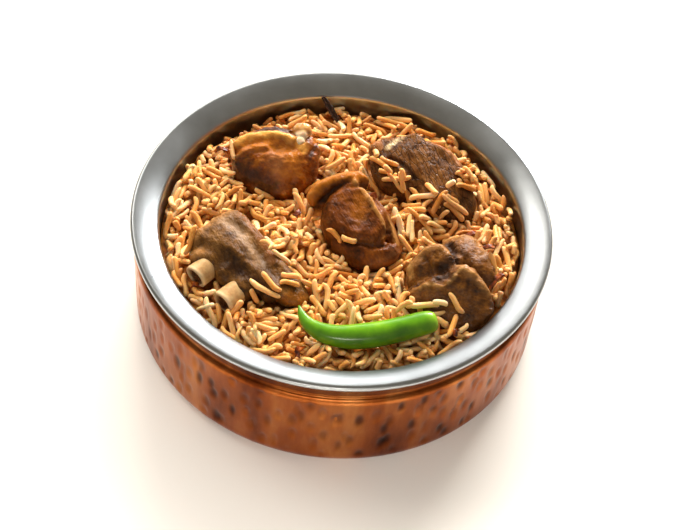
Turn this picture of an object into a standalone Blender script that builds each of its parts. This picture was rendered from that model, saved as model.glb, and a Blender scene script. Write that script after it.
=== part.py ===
"""Mutton biryani served in a copper-clad steel handi.

The pan is a round steel liner with a rolled rim, set in a copper jacket. It holds a bed of rice with five
pieces of mutton, two rib bones, a cartilage knob, a green chilli and a cinnamon shard on it.
Metres, +Z up, with the origin under the middle of the flat base. The rib piece lies towards -X and -Y,
and the chilli lies along the -Y side.
"""

from math import cos, radians, sin, tau

import bmesh
import bpy
from mathutils import Matrix, Vector, noise

MM = 0.001
GAP = 0.3  # mm left between neighbouring solids
POCKET_GAP = 0.36  # mm left round a piece that is sunk in the rice
SEGMENTS = 48  # sides of every turned shape

# Pan, mm
RIM_Z = 55.0  # height of the rim's widest circle
RIM_R = 90.0
BEAD_R = 1.4
FLANGE_SLOPE = radians(12)
LIP_ROUND = 2.6
WALL_R = 77.8  # inside of the liner
SHEET = 0.9
CORNER_R = 7.0
BELLY_R = 89.0  # outside of the copper jacket
NECK_R = 86.8
CREASE_Z = 46.8  # where the belly meets the neck

# Rice, mm
RICE_Z = 46.2
RICE_RINGS = 12
RICE_UNEVEN = 0.9
# each mound: x, y, how much higher, how wide
RICE_MOUNDS = [
    (-4, 36, 6.0, 9),
    (-50, 8, 4.2, 13),
    (-22, -12, 4.4, 14),
    (5, -37, 3.4, 16),
    (32, 6, 5.5, 10),
    (66, 2, 2.4, 12),
    (-30, -62, 1.6, 14),
    (58, -48, 1.6, 12),
    (-64, 20, 2.2, 12),
    (44, 60, 1.6, 12),
    (0, 72, -1.4, 18),
]

# Green chilli, mm: points along its axis, each with the radius there
CHILLI_AXIS = [
    (-13.3, -50.2, 54.7, 0.8),
    (-11.8, -54.2, 53.6, 1.8),
    (-8.2, -58.1, 52.8, 2.8),
    (-2.8, -60.9, 52.3, 3.7),
    (5.4, -61.6, 52.1, 4.6),
    (13.9, -59.9, 52.1, 5.1),
    (22.3, -57.2, 52.2, 5.1),
    (30.4, -53.7, 52.5, 5.0),
    (37.2, -50.6, 52.8, 4.8),
    (40.3, -49.3, 53.0, 4.4),
    (41.5, -48.7, 53.1, 3.4),
]
CHILLI_SIDES = 16

# Rib bones, mm: cut end, end inside the meat
BONE_R = 5.2
MARROW_R = 3.3
MARROW_DEPTH = 1.2
RIB_BONES = {
    "rib_bone_1": ((-57.4, -39.0, 50.8), (-45.6, -23.4, 52.4)),
    "rib_bone_2": ((-44.6, -49.6, 49.4), (-34.4, -36.6, 50.9)),
}

# Cartilage knob of the back left piece, mm
KNOB_CENTRE = (-22.6, 43.2, 60.6)
KNOB_SIZE = (4.6, 4.0, 3.8)

# Cinnamon shard, mm
SHARD_LOW = (-8.2, 65.4, 46.6)
SHARD_TOP = (-16.4, 71.6, 55.0)
SHARD_WIDTH = 4.0
SHARD_THICK = 1.8

# Mutton: every piece is a few rounded lobes, each the hull of the corner points listed here, mm
MUTTON = {
    "mutton_back_left": [
        [
            (-54, 31, 56), (-50, 35, 61), (-40, 39, 63), (-29, 41, 63), (-20, 40, 61), (-14, 37, 57),
            (-46, 25, 58), (-33, 22, 60), (-20, 27, 58), (-49, 20, 50), (-40, 15, 48), (-26, 13, 46),
            (-17, 21, 48), (-13, 30, 50), (-48, 44, 54), (-36, 48, 56), (-24, 48, 56), (-15, 44, 52),
            (-46, 22, 38), (-26, 18, 36), (-18, 30, 37), (-20, 43, 40), (-44, 41, 40), (-52, 31, 43),
        ],
    ],
    "mutton_centre": [
        [
            (-3, 14, 61), (5, 17, 62), (13, 7, 62), (21, -6, 59), (16, -13, 56), (4, -13, 55),
            (-6, -9, 56), (-10, 2, 58), (-8, 10, 60), (3, -2, 62),
            (-8, -8, 42), (14, -12, 42), (20, 0, 44), (8, 14, 44), (-8, 10, 44),
        ],
        [
            (-17, 8, 56), (-13, 13, 61), (-5, 18, 64), (4, 21, 64), (10, 19, 62), (10, 14, 60),
            (0, 13, 61), (-10, 7, 58), (-15, 4, 52), (-13, 12, 48), (6, 19, 48), (-4, 10, 46),
        ],
        [
            (10, 18, 60), (16, 10, 59), (21, 2, 57), (26, -5, 55), (28, -13, 51), (22, -14, 48),
            (14, 6, 50), (8, 14, 52), (20, -6, 42), (10, 8, 42), (24, -8, 44),
        ],
        [
            (-5, -12, 51), (3, -19, 51), (14, -22, 51), (23, -19, 52), (28, -11, 53), (20, -8, 55),
            (6, -10, 55), (-4, -9, 53), (-2, -12, 41), (12, -19, 41), (24, -13, 41),
        ],
    ],
    "mutton_back_right": [
        [
            (7, 45, 56), (15, 51, 60), (26, 54, 62), (33, 48, 61), (38, 36, 59), (33, 24, 56),
            (22, 24, 54), (14, 25, 52), (7, 34, 54),
            (12, 42, 40), (28, 49, 42), (36, 36, 40), (32, 20, 40), (16, 28, 39),
        ],
        [
            (28, 54, 60), (38, 48, 61), (46, 42, 59), (53, 34, 57), (59, 24, 54), (58, 17, 52),
            (52, 10, 51), (42, 11, 53), (32, 15, 54), (34, 34, 60),
            (30, 48, 42), (46, 38, 40), (54, 24, 38), (50, 14, 37), (34, 18, 38),
        ],
    ],
    "mutton_rib": [
        [
            (-49, -3, 60), (-55, -11, 60), (-60, -20, 58), (-66, -31, 51), (-64, -32, 47), (-56, -25, 57),
            (-50, -27, 59), (-42, -29, 59), (-34, -36, 56), (-41, -5, 59), (-34, -12, 58), (-27, -21, 55),
            (-48, -7, 44), (-58, -22, 44), (-46, -28, 46), (-34, -35, 46), (-27, -20, 43), (-36, -9, 43),
        ],
        [
            (-42, -28, 58), (-34, -36, 57), (-26, -41, 54), (-18, -47, 50), (-9, -45, 49), (-7, -41, 47),
            (-16, -37, 51), (-21, -29, 53), (-28, -19, 55), (-34, -34, 45), (-18, -44, 42), (-12, -40, 42),
            (-26, -24, 42),
        ],
    ],
    "mutton_right": [
        [
            (28, -24, 51), (29, -18, 57), (35, -14, 61), (43, -13, 62), (50, -18, 61), (52, -24, 58),
            (47, -30, 54), (39, -30, 53), (32, -29, 52), (40, -25, 62), (34, -32, 40), (54, -32, 40),
            (56, -12, 42), (44, -10, 42), (34, -18, 44),
        ],
        [
            (45, -4, 54), (53, 2, 54), (58, -2, 55), (63, -9, 56), (66, -16, 56), (67, -26, 54),
            (55, -18, 59), (50, -11, 58), (43, -11, 55), (46, -4, 42), (60, -8, 42), (65, -30, 41),
            (44, -26, 42), (40, -10, 44),
        ],
        [
            (29, -36, 55), (37, -31, 58), (45, -33, 59), (48, -29, 61), (52, -22, 62), (57, -25, 62),
            (63, -30, 59), (68, -35, 54), (65, -40, 50), (60, -45, 48), (52, -50, 47), (40, -47, 48),
            (30, -45, 49), (26, -38, 51), (34, -42, 40), (52, -46, 40), (64, -38, 41), (62, -24, 41),
            (36, -22, 41),
        ],
    ],
}
LOBE_CUTS = 2
LOBE_SMOOTHING = 3
LOBE_SWELL = 0.9  # mm put back on after the smoothing

# Colour, metallic and roughness of each material, linear colour
MATERIALS = {
    "brushed_steel": ((0.56, 0.57, 0.57), 1.0, 0.28),
    "hammered_copper": ((0.80, 0.36, 0.19), 1.0, 0.32),
    "spiced_rice": ((0.66, 0.36, 0.12), 0.0, 0.5),
    "braised_mutton": ((0.16, 0.06, 0.025), 0.0, 0.38),
    "rib_bone": ((0.62, 0.40, 0.20), 0.0, 0.45),
    "cartilage": ((0.66, 0.42, 0.22), 0.0, 0.35),
    "green_chilli": ((0.10, 0.38, 0.02), 0.0, 0.28),
    "cinnamon_bark": ((0.05, 0.02, 0.01), 0.0, 0.7),
}


def clear_scene():
    for obj in list(bpy.data.objects):
        bpy.data.objects.remove(obj, do_unlink=True)


def make_material(name):
    colour, metallic, roughness = MATERIALS[name]
    material = bpy.data.materials.new(name)
    material.use_nodes = True
    shader = material.node_tree.nodes["Principled BSDF"]
    shader.inputs["Base Color"].default_value = (*colour, 1.0)
    shader.inputs["Metallic"].default_value = metallic
    shader.inputs["Roughness"].default_value = roughness
    material.diffuse_color = (*colour, 1.0)
    return material


def make_object(name, bm, material, sharp=40):
    bmesh.ops.recalc_face_normals(bm, faces=bm.faces[:])
    mesh = bpy.data.meshes.new(name)
    bm.to_mesh(mesh)
    bm.free()
    mesh.shade_smooth()
    mesh.set_sharp_from_angle(angle=radians(sharp))
    if material:
        mesh.materials.append(material)
    obj = bpy.data.objects.new(name, mesh)
    bpy.context.scene.collection.objects.link(obj)
    return obj


def make_cutter(name, bm):
    obj = make_object(name, bm, None)
    obj.hide_render = True
    obj.display_type = "WIRE"
    return obj


def add_boolean(obj, other, operation):
    modifier = obj.modifiers.new(f"{operation.lower()} {other.name}", "BOOLEAN")
    modifier.operation = operation
    modifier.solver = "EXACT"
    modifier.object = other


def arc(centre, radius, start, end, steps):
    """Points on an arc in the profile plane, from one angle to another, in degrees."""
    points = []
    for i in range(steps + 1):
        angle = radians(start + (end - start) * i / steps)
        points.append((centre[0] + radius * cos(angle), centre[1] + radius * sin(angle)))
    return points


def turned(profile):
    """A solid turned about Z from a profile that starts and ends on the axis."""
    bm = bmesh.new()
    verts = [bm.verts.new((r * MM, 0, z * MM)) for r, z in profile]
    edges = [bm.edges.new(pair) for pair in zip(verts, verts[1:])]
    bmesh.ops.spin(
        bm, geom=verts + edges, cent=(0, 0, 0), axis=(0, 0, 1), angle=tau, steps=SEGMENTS, use_merge=True
    )
    bmesh.ops.remove_doubles(bm, verts=bm.verts[:], dist=1e-6)
    return bm


def liner_profile():
    """Steel pan: flat floor, upright wall, a sloping flange and a rolled bead at its edge."""
    outer_wall = WALL_R + SHEET
    floor_low = SHEET + GAP
    floor_top = floor_low + SHEET
    inner_corner = CORNER_R - 1.0
    outer_corner = inner_corner + SHEET
    bead_r = RIM_R - BEAD_R
    slope = FLANGE_SLOPE
    lip_z = RIM_Z - 4.6
    lip_centre = (WALL_R + LIP_ROUND, lip_z)
    turn = 90 + 12
    points = [(0, floor_low)]
    points += arc((outer_wall - outer_corner, floor_low + outer_corner), outer_corner, -90, 0, 3)
    points += arc(lip_centre, LIP_ROUND - SHEET, 180, turn, 2)
    points.append((bead_r - 2.2, lip_z + LIP_ROUND - SHEET + (bead_r - 2.2 - lip_centre[0]) * sin(slope)))
    points += arc((bead_r, RIM_Z), BEAD_R, -150, 150, 6)
    points.append((bead_r - 2.1, lip_z + LIP_ROUND + (bead_r - 2.1 - lip_centre[0]) * sin(slope)))
    points += arc(lip_centre, LIP_ROUND, turn, 180, 3)
    points += arc((WALL_R - inner_corner, floor_top + inner_corner), inner_corner, 0, -90, 3)
    points.append((0, floor_top))
    return points


def jacket_profile():
    """Copper jacket: flat base, straight belly, and a narrower neck under the rim."""
    inner_r = BELLY_R - SHEET
    neck_in = NECK_R - SHEET
    neck_top = RIM_Z - 1.9
    corner = (BELLY_R - CORNER_R, CORNER_R)
    points = [(0, 0)]
    points += arc(corner, CORNER_R, -90, 0, 4)
    points += [(BELLY_R, CREASE_Z - 2.2), (BELLY_R - 0.6, CREASE_Z - 0.7), (NECK_R, CREASE_Z)]
    points += [(NECK_R, neck_top), (neck_in, neck_top), (neck_in, CREASE_Z - 0.6)]
    points += [(inner_r, CREASE_Z - 2.2)]
    points += arc(corner, CORNER_R - SHEET, 0, -90, 4)
    points.append((0, SHEET))
    return points


def rice_height(x, y):
    """Height of the rice bed, mm: mounds between the pieces over a slightly uneven level."""
    z = RICE_Z
    for mound_x, mound_y, rise, width in RICE_MOUNDS:
        away = ((x - mound_x) ** 2 + (y - mound_y) ** 2) / width**2
        z += rise / (1 + away) ** 2
    z += RICE_UNEVEN * noise.noise(Vector((x / 9, y / 9, 3.7)))
    z += 0.6 * RICE_UNEVEN * noise.noise(Vector((x / 4, y / 4, 8.1)))
    return z


def rice_solid():
    """Rice bed: rings of points on its uneven top, then its side and its flat underside."""
    edge = WALL_R - GAP - 0.05
    low = SHEET + GAP + SHEET + GAP
    corner = CORNER_R - 1.0
    rings = []
    for i in range(RICE_RINGS):
        rings.append((edge * (i + 1) / RICE_RINGS, None))
    for r, z in arc((edge - corner, low + corner), corner, 0, -90, 3):
        rings.append((r, z))
    bm = bmesh.new()
    top = bm.verts.new((0, 0, rice_height(0, 0) * MM))
    bottom = bm.verts.new((0, 0, low * MM))
    loops = []
    for r, z in rings:
        loop = []
        for k in range(SEGMENTS):
            x = r * cos(tau * k / SEGMENTS)
            y = r * sin(tau * k / SEGMENTS)
            level = rice_height(x, y) if z is None else z
            loop.append(bm.verts.new((x * MM, y * MM, level * MM)))
        loops.append(loop)
    for k in range(SEGMENTS):
        n = (k + 1) % SEGMENTS
        bm.faces.new((top, loops[0][k], loops[0][n]))
        bm.faces.new((bottom, loops[-1][n], loops[-1][k]))
        for upper, lower in zip(loops, loops[1:]):
            bm.faces.new((upper[k], lower[k], lower[n], upper[n]))
    bmesh.ops.triangulate(bm, faces=bm.faces[:])
    return bm


def lobe(corners, grow=0.0):
    """A rounded lump of meat: the hull of its corner points, subdivided and smoothed."""
    bm = bmesh.new()
    for corner in corners:
        bm.verts.new(Vector(corner) * MM)
    bmesh.ops.convex_hull(bm, input=bm.verts[:])
    inside = [v for v in bm.verts if not v.link_faces]
    bmesh.ops.delete(bm, geom=inside, context="VERTS")
    bmesh.ops.subdivide_edges(bm, edges=bm.edges[:], cuts=LOBE_CUTS, use_grid_fill=True)
    for _ in range(LOBE_SMOOTHING):
        bmesh.ops.smooth_vert(
            bm, verts=bm.verts[:], factor=0.5, use_axis_x=True, use_axis_y=True, use_axis_z=True
        )
    bmesh.ops.triangulate(bm, faces=bm.faces[:])
    bmesh.ops.recalc_face_normals(bm, faces=bm.faces[:])
    grown(bm, LOBE_SWELL + grow)
    return bm


def grown(bm, grow):
    """Moves each point of a closed shape out along its normal, in mm."""
    bm.normal_update()
    for vert, normal in [(v, v.normal.copy()) for v in bm.verts]:
        vert.co += normal * grow * MM


def axis_matrix(start, end):
    """Places a shape made along Z so that it runs from start to end."""
    start, end = Vector(start) * MM, Vector(end) * MM
    turn = (end - start).to_track_quat("Z", "Y").to_matrix().to_4x4()
    return Matrix.Translation((start + end) / 2) @ turn


def bone(start, end, grow=0.0):
    """A length of rib bone, round, with a shallow marrow recess in its cut end."""
    length = (Vector(end) - Vector(start)).length + 2 * grow
    bm = bmesh.new()
    made = bmesh.ops.create_cone(
        bm,
        cap_ends=True,
        segments=20,
        radius1=(BONE_R + 0.15 + grow) * MM,
        radius2=(BONE_R - 0.25 + grow) * MM,
        depth=length * MM,
    )
    if grow == 0:
        cut_end = min(bm.faces, key=lambda face: face.calc_center_median().z)
        bmesh.ops.inset_region(bm, faces=[cut_end], thickness=(BONE_R - MARROW_R) * MM)
        bmesh.ops.translate(bm, verts=cut_end.verts[:], vec=(0, 0, MARROW_DEPTH * MM))
    bmesh.ops.transform(bm, matrix=axis_matrix(start, end), verts=bm.verts[:])
    return bm


def knob(grow=0.0):
    """Rounded end of cartilage."""
    bm = bmesh.new()
    bmesh.ops.create_icosphere(bm, subdivisions=2, radius=1)
    size = Matrix.Diagonal([(side + grow) * MM for side in KNOB_SIZE]).to_4x4()
    bmesh.ops.transform(bm, matrix=Matrix.Translation(Vector(KNOB_CENTRE) * MM) @ size, verts=bm.verts[:])
    return bm


def shard(grow=0.0):
    """A flat splinter of bark, narrower at its top, standing against the wall."""
    start, end = Vector(SHARD_LOW), Vector(SHARD_TOP)
    bm = bmesh.new()
    bmesh.ops.create_cube(bm, size=1)
    half = (end - start).length / 2 + grow
    for vert in bm.verts:
        taper = 0.55 if vert.co.z > 0 else 1.0
        vert.co.x *= (SHARD_WIDTH * taper + 2 * grow) * MM
        vert.co.y *= (SHARD_THICK + 2 * grow) * MM
        vert.co.z *= 2 * half * MM
    bmesh.ops.transform(bm, matrix=axis_matrix(start, end), verts=bm.verts[:])
    return bm


def chilli(grow=0.0):
    """Green chilli: round sections along a bent axis, pointed at one end and rounded at the other."""
    axis = [Vector(row[:3]) for row in CHILLI_AXIS]
    radii = [row[3] for row in CHILLI_AXIS]
    bm = bmesh.new()
    loops = []
    for i, centre in enumerate(axis):
        before, after = axis[max(i - 1, 0)], axis[min(i + 1, len(axis) - 1)]
        along = (after - before).normalized()
        side = along.cross(Vector((0, 0, 1))).normalized()
        up = side.cross(along)
        loop = []
        for k in range(CHILLI_SIDES):
            angle = tau * k / CHILLI_SIDES
            out = side * cos(angle) + up * sin(angle)
            loop.append(bm.verts.new((centre + out * (radii[i] + grow)) * MM))
        loops.append(loop)
    tip = bm.verts.new((axis[0] + (axis[0] - axis[1]).normalized() * (1.2 + grow)) * MM)
    end = bm.verts.new((axis[-1] + (axis[-1] - axis[-2]).normalized() * (0.5 + grow)) * MM)
    for k in range(CHILLI_SIDES):
        n = (k + 1) % CHILLI_SIDES
        bm.faces.new((tip, loops[0][k], loops[0][n]))
        bm.faces.new((end, loops[-1][n], loops[-1][k]))
        for first, second in zip(loops, loops[1:]):
            bm.faces.new((first[k], second[k], second[n], first[n]))
    bmesh.ops.triangulate(bm, faces=bm.faces[:])
    return bm


def build():
    clear_scene()
    materials = {name: make_material(name) for name in MATERIALS}
    make_object("steel_liner", turned(liner_profile()), materials["brushed_steel"])
    make_object("copper_jacket", turned(jacket_profile()), materials["hammered_copper"])
    rice = make_object("rice", rice_solid(), materials["spiced_rice"])

    pieces = {}
    for name, lobes in MUTTON.items():
        pieces[name] = make_object(name, lobe(lobes[0]), materials["braised_mutton"])
        for i, corners in enumerate(lobes[1:]):
            add_boolean(pieces[name], make_cutter(f"{name}_lobe_{i + 2}", lobe(corners)), "UNION")
        for i, corners in enumerate(lobes):
            add_boolean(rice, make_cutter(f"{name}_pocket_{i + 1}", lobe(corners, POCKET_GAP)), "DIFFERENCE")

    for name, (start, end) in RIB_BONES.items():
        make_object(name, bone(start, end), materials["rib_bone"])
        socket = make_cutter(f"{name}_socket", bone(start, end, POCKET_GAP))
        add_boolean(pieces["mutton_rib"], socket, "DIFFERENCE")
        add_boolean(rice, socket, "DIFFERENCE")

    make_object("bone_knob", knob(), materials["cartilage"])
    add_boolean(pieces["mutton_back_left"], make_cutter("knob_socket", knob(POCKET_GAP)), "DIFFERENCE")

    make_object("green_chilli", chilli(), materials["green_chilli"])
    add_boolean(rice, make_cutter("chilli_pocket", chilli(POCKET_GAP)), "DIFFERENCE")

    make_object("cinnamon_shard", shard(), materials["cinnamon_bark"])
    add_boolean(rice, make_cutter("shard_pocket", shard(POCKET_GAP)), "DIFFERENCE")


build()
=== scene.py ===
import math
import random

import bmesh
import bpy
import numpy as np
from mathutils import Matrix, Vector, noise
from mathutils.bvhtree import BVHTree


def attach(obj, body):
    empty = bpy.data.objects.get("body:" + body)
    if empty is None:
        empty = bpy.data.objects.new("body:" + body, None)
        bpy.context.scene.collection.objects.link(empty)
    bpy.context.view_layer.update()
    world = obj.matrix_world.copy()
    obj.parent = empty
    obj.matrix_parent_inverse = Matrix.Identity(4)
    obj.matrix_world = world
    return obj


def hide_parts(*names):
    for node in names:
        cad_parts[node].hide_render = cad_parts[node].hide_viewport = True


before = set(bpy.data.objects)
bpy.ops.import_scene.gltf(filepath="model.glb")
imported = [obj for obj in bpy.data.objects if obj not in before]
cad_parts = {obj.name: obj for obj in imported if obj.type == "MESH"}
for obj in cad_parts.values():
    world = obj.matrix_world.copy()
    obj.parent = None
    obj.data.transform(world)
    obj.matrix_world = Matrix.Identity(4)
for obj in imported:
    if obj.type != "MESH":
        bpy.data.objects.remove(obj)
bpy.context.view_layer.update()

mm = 0.001
random.seed(11)
rng = np.random.default_rng(11)
scene = bpy.context.scene


# small tools used by every piece

def linearColour(hexCode):
    channels = [int(hexCode[i:i + 2], 16) / 255 for i in (1, 3, 5)]
    return tuple(c / 12.92 if c <= 0.04045 else ((c + 0.055) / 1.055) ** 2.4 for c in channels) + (1.0,)


def newMaterial(name):
    material = bpy.data.materials.new(name)
    material.use_nodes = True
    return material, material.node_tree.nodes["Principled BSDF"]


def setInputs(material, node, inputs):
    # a number or colour goes on the socket itself, another node's output is linked to it
    for key, value in inputs.items():
        if isinstance(value, bpy.types.NodeSocket):
            material.node_tree.links.new(value, node.inputs[key])
        else:
            node.inputs[key].default_value = value


usedOutputs = {"TexCoord": "Object", "Attribute": "Fac", "Mix": 2}


def addNode(material, kind, inputs=None, output=None, **settings):
    # gives the output asked for, else the kind's own from usedOutputs, else the first
    node = material.node_tree.nodes.new("ShaderNode" + kind)
    for key, value in settings.items():
        if key == "stops":
            ramp = node.color_ramp
            while len(ramp.elements) < len(value):
                ramp.elements.new(0.5)
            for element, (position, colour) in zip(ramp.elements, value):
                element.position = position
                element.color = linearColour(colour)
        else:
            setattr(node, key, value)
    setInputs(material, node, inputs or {})
    return node.outputs[usedOutputs.get(kind, 0) if output is None else output]


def meshFrom(bm, name):
    mesh = bpy.data.meshes.new(name)
    bm.to_mesh(mesh)
    bm.free()
    mesh.shade_smooth()
    return mesh


def addPiece(name, mesh, material, replaced=()):
    piece = bpy.data.objects.new(name, mesh)
    scene.collection.objects.link(piece)
    mesh.materials.clear()
    mesh.materials.append(material)
    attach(piece, "root")
    if replaced:
        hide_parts(*replaced)
    return piece


def cadMesh(node):
    # a merged copy of a CAD node's loose triangles
    bm = bmesh.new()
    bm.from_mesh(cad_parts[node].data)
    bmesh.ops.remove_doubles(bm, verts=bm.verts[:], dist=1e-6)
    bmesh.ops.recalc_face_normals(bm, faces=bm.faces[:])
    return bm


def evaluated(data, modifiers=()):
    # the finished mesh of a mesh or curve, after any modifiers
    helper = bpy.data.objects.new("helper", data)
    scene.collection.objects.link(helper)
    for kind, settings in modifiers:
        modifier = helper.modifiers.new(kind.lower(), kind)
        for key, value in settings.items():
            setattr(modifier, key, value)
    graph = bpy.context.evaluated_depsgraph_get()
    graph.update()
    done = bpy.data.meshes.new_from_object(helper.evaluated_get(graph))
    bpy.data.objects.remove(helper)
    return done


def getPoints(mesh):
    points = np.empty(len(mesh.vertices) * 3, np.float32)
    mesh.vertices.foreach_get("co", points)
    normals = np.empty(len(mesh.vertices) * 3, np.float32)
    mesh.vertices.foreach_get("normal", normals)
    return points.reshape(-1, 3).astype(float), normals.reshape(-1, 3).astype(float)


def setPoints(mesh, points):
    mesh.vertices.foreach_set("co", points.astype(np.float32).ravel())
    mesh.update()


def pushOut(mesh, points, normals, push):
    # moves every point along its normal, by millimetres
    setPoints(mesh, points + normals * (push * mm)[:, None])


def setAttribute(mesh, name, values):
    attribute = mesh.attributes.new(name, "FLOAT", "POINT")
    attribute.data.foreach_set("value", np.asarray(values, np.float32))


def distanceToLine(points, line):
    # shortest distance in metres from every point to a line of corner points given in mm
    best = np.full(len(points), 1e9)
    line = np.array(line, float) * mm
    for start, end in zip(line, line[1:]):
        along = end - start
        t = np.clip(((points - start) @ along) / (along @ along), 0, 1)
        best = np.minimum(best, np.linalg.norm(points - (start + t[:, None] * along), axis=1))
    return best


def fractalNoise(points, size, seed, detail=3, stretch=None):
    # smooth noise of about -1 to 1 with features of the given size in mm
    scaled = points / (size * mm)
    if stretch is not None:
        direction, amount = stretch
        axis = np.array(Vector(direction).normalized())
        scaled = scaled - (scaled @ axis)[:, None] * axis * (1 - 1 / amount)
    offset = Vector((seed * 7.3, seed * 3.1, seed * 1.7))
    return np.array([noise.fractal(Vector(p) + offset, 0.6, 2.1, detail) for p in scaled])


def fade(values, low, high):
    # 0 below low and 1 above high, eased between
    t = np.clip((values - low) / (high - low), 0, 1)
    return t * t * (3 - 2 * t)


# pan: spun steel liner and hammered copper jacket

pan = {
    "rimHeight": 55.0, "rimRadius": 90.0, "beadRadius": 1.4, "flangeSlope": 12.0, "lipSlope": 32.0,
    "beadJoin": 100.6, "lipRound": 2.6,
    "wallRadius": 77.8, "sheet": 0.9, "corner": 6.0, "segments": 180,
    "bellyRadius": 89.0, "neckRadius": 86.8, "creaseHeight": 46.8, "jacketCorner": 7.0,
    "jacketSegments": 1000,
    "dentColumns": 82, "dentRows": 4, "dentWidth": 3.0, "dentHeight": 7.2, "dentDepth": 0.62,
    "dentLow": 9.0, "dentPitch": 10.4, "dentStagger": 4.4, "dentTop": 43, "dentDrift": 0.28,
    "dentJitter": 2.0,
}


def standBetween(start, end):
    # puts a mesh made along Z between two places in millimetres
    turn = (end - start).to_track_quat("Z", "Y").to_matrix().to_4x4()
    return Matrix.Translation((start + end) / 2 * mm) @ turn


def arcPoints(centre, radius, start, end, steps):
    angles = [math.radians(start + (end - start) * i / steps) for i in range(steps + 1)]
    return [(centre[0] + radius * math.cos(a), centre[1] + radius * math.sin(a)) for a in angles]


def spinProfile(profile, segments):
    bm = bmesh.new()
    verts = [bm.verts.new((r * mm, 0, z * mm)) for r, z in profile]
    edges = [bm.edges.new(pair) for pair in zip(verts, verts[1:])]
    bmesh.ops.spin(
        bm, geom=verts + edges, cent=(0, 0, 0), axis=(0, 0, 1), angle=math.tau, steps=segments,
        use_merge=True)
    bmesh.ops.remove_doubles(bm, verts=bm.verts[:], dist=1e-6)
    bmesh.ops.recalc_face_normals(bm, faces=bm.faces[:])
    return bm


def linerProfile():
    wall, sheet, lip = pan["wallRadius"], pan["sheet"], pan["lipRound"]
    slope = math.radians(pan["flangeSlope"])
    floorLow, outerCorner = 1.2, pan["corner"] + sheet
    beadRadius = pan["rimRadius"] - pan["beadRadius"]
    lipCentre = (wall + lip, pan["rimHeight"] - 4.6)
    under = lambda r: lipCentre[1] + lip - sheet + (r - lipCentre[0]) * math.sin(slope)
    points = [(0, floorLow)]
    points += arcPoints((wall + sheet - outerCorner, floorLow + outerCorner), outerCorner, -90, 0, 8)
    points += arcPoints(lipCentre, lip - sheet, 180, 90 + pan["flangeSlope"], 5)
    points.append((beadRadius - 2.2, under(beadRadius - 2.2)))
    points += arcPoints((beadRadius, pan["rimHeight"]), pan["beadRadius"], -145, pan["beadJoin"], 20)
    # the flange leaves the rolled edge nearly level and steepens towards the lip
    lipArc = arcPoints(lipCentre, lip, 90 + pan["lipSlope"], 180, 12)
    (lipX, lipZ), (outX, outZ) = lipArc[0], points[-1]
    reach = outX - lipX
    steep = math.tan(math.radians(pan["lipSlope"]))
    ease = (steep * reach - (outZ - lipZ)) / reach ** 2
    points += [(lipX + x, lipZ + steep * x - ease * x * x) for x in np.linspace(reach, 0, 16)[1:-1]]
    points += lipArc
    points += [(wall, z) for z in (44, 36, 26, 16)]
    points += arcPoints((wall - pan["corner"], floorLow + sheet + pan["corner"]), pan["corner"], 0, -90, 8)
    points.append((0, floorLow + sheet))
    return points


def jacketProfile():
    belly, neck, sheet, crease = pan["bellyRadius"], pan["neckRadius"], pan["sheet"], pan["creaseHeight"]
    corner = (belly - pan["jacketCorner"], pan["jacketCorner"])
    top = pan["rimHeight"] - 1.9
    points = [(0, 0), (40, 0), (70, 0)]
    points += arcPoints(corner, pan["jacketCorner"], -90, 0, 10)
    points += [(belly, z) for z in np.linspace(8, crease - 4.4, 40)]
    points += arcPoints((belly - 4.0, crease - 4.2), 4.0, 0, 50, 8)
    points += arcPoints((belly - 0.02, crease + 0.55), 2.2, 230, 180, 8)
    points += [(neck, crease + 3.0), (neck, top)]
    points += [
        (neck - sheet, top), (neck - sheet, crease + 0.6), (neck - sheet, crease - 0.9),
        (belly - sheet - 1.2, crease - 2.6),
    ]
    points += [(belly - sheet, crease - 4.5), (belly - sheet, 20)]
    points += arcPoints(corner, pan["jacketCorner"] - sheet, 0, -90, 6)
    points.append((0, sheet))
    return points


def hammerJacket(mesh):
    # shallow upright ovals in staggered columns, each struck a little off its place
    points, normals = getPoints(mesh)
    radius = np.hypot(points[:, 0], points[:, 1]) / mm
    outside = (radius > pan["bellyRadius"] - 0.5) & (normals[:, 2] > -0.9)
    angle = np.arctan2(points[:, 1], points[:, 0])
    height = points[:, 2] / mm
    push = np.zeros(len(points))
    tonePatches = np.zeros(len(points))
    pitch = math.tau / pan["dentColumns"]
    for column in range(pan["dentColumns"]):
        for row in range(pan["dentRows"]):
            a = (column + rng.normal(0, pan["dentDrift"])) * pitch
            stagger = pan["dentStagger"] if column % 2 else 0
            z = pan["dentLow"] + pan["dentPitch"] * row + stagger + rng.normal(0, pan["dentJitter"])
            if z > pan["dentTop"]:
                continue
            across = (angle - a + math.pi) % math.tau - math.pi
            x = across * pan["bellyRadius"] / (pan["dentWidth"] * rng.uniform(0.85, 1.2) / 2)
            y = (height - z) / (pan["dentHeight"] * rng.uniform(0.8, 1.15) / 2)
            depth = pan["dentDepth"] * rng.uniform(0.55, 1.15)
            dish = np.exp(-((x * x + y * y) ** 1.6) * 0.8)
            push += depth * dish
            # each dent gets painted shade, darker in some dents than in others
            tonePatches += rng.choice((0.15, 0.45, 0.85), p=(0.45, 0.33, 0.22)) * dish
    push += 0.05 * np.sin(angle * 13 + height * 0.3)
    outward = points.copy()
    outward[:, 2] = 0
    outward /= np.maximum(np.linalg.norm(outward, axis=1), 1e-9)[:, None]
    edge = fade(height, 5, 9) * (1 - fade(height, 41.5, 44.5))
    setPoints(mesh, points - outward * (push * mm * edge * outside)[:, None])
    # painted shade in the crease under the rim
    paintedCreaseShade = 0.75 * np.exp(-((height - pan["creaseHeight"] - 1.5) / 3.2) ** 2)
    setAttribute(mesh, "dent", np.clip(tonePatches * edge * outside + paintedCreaseShade, 0, 1))


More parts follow.
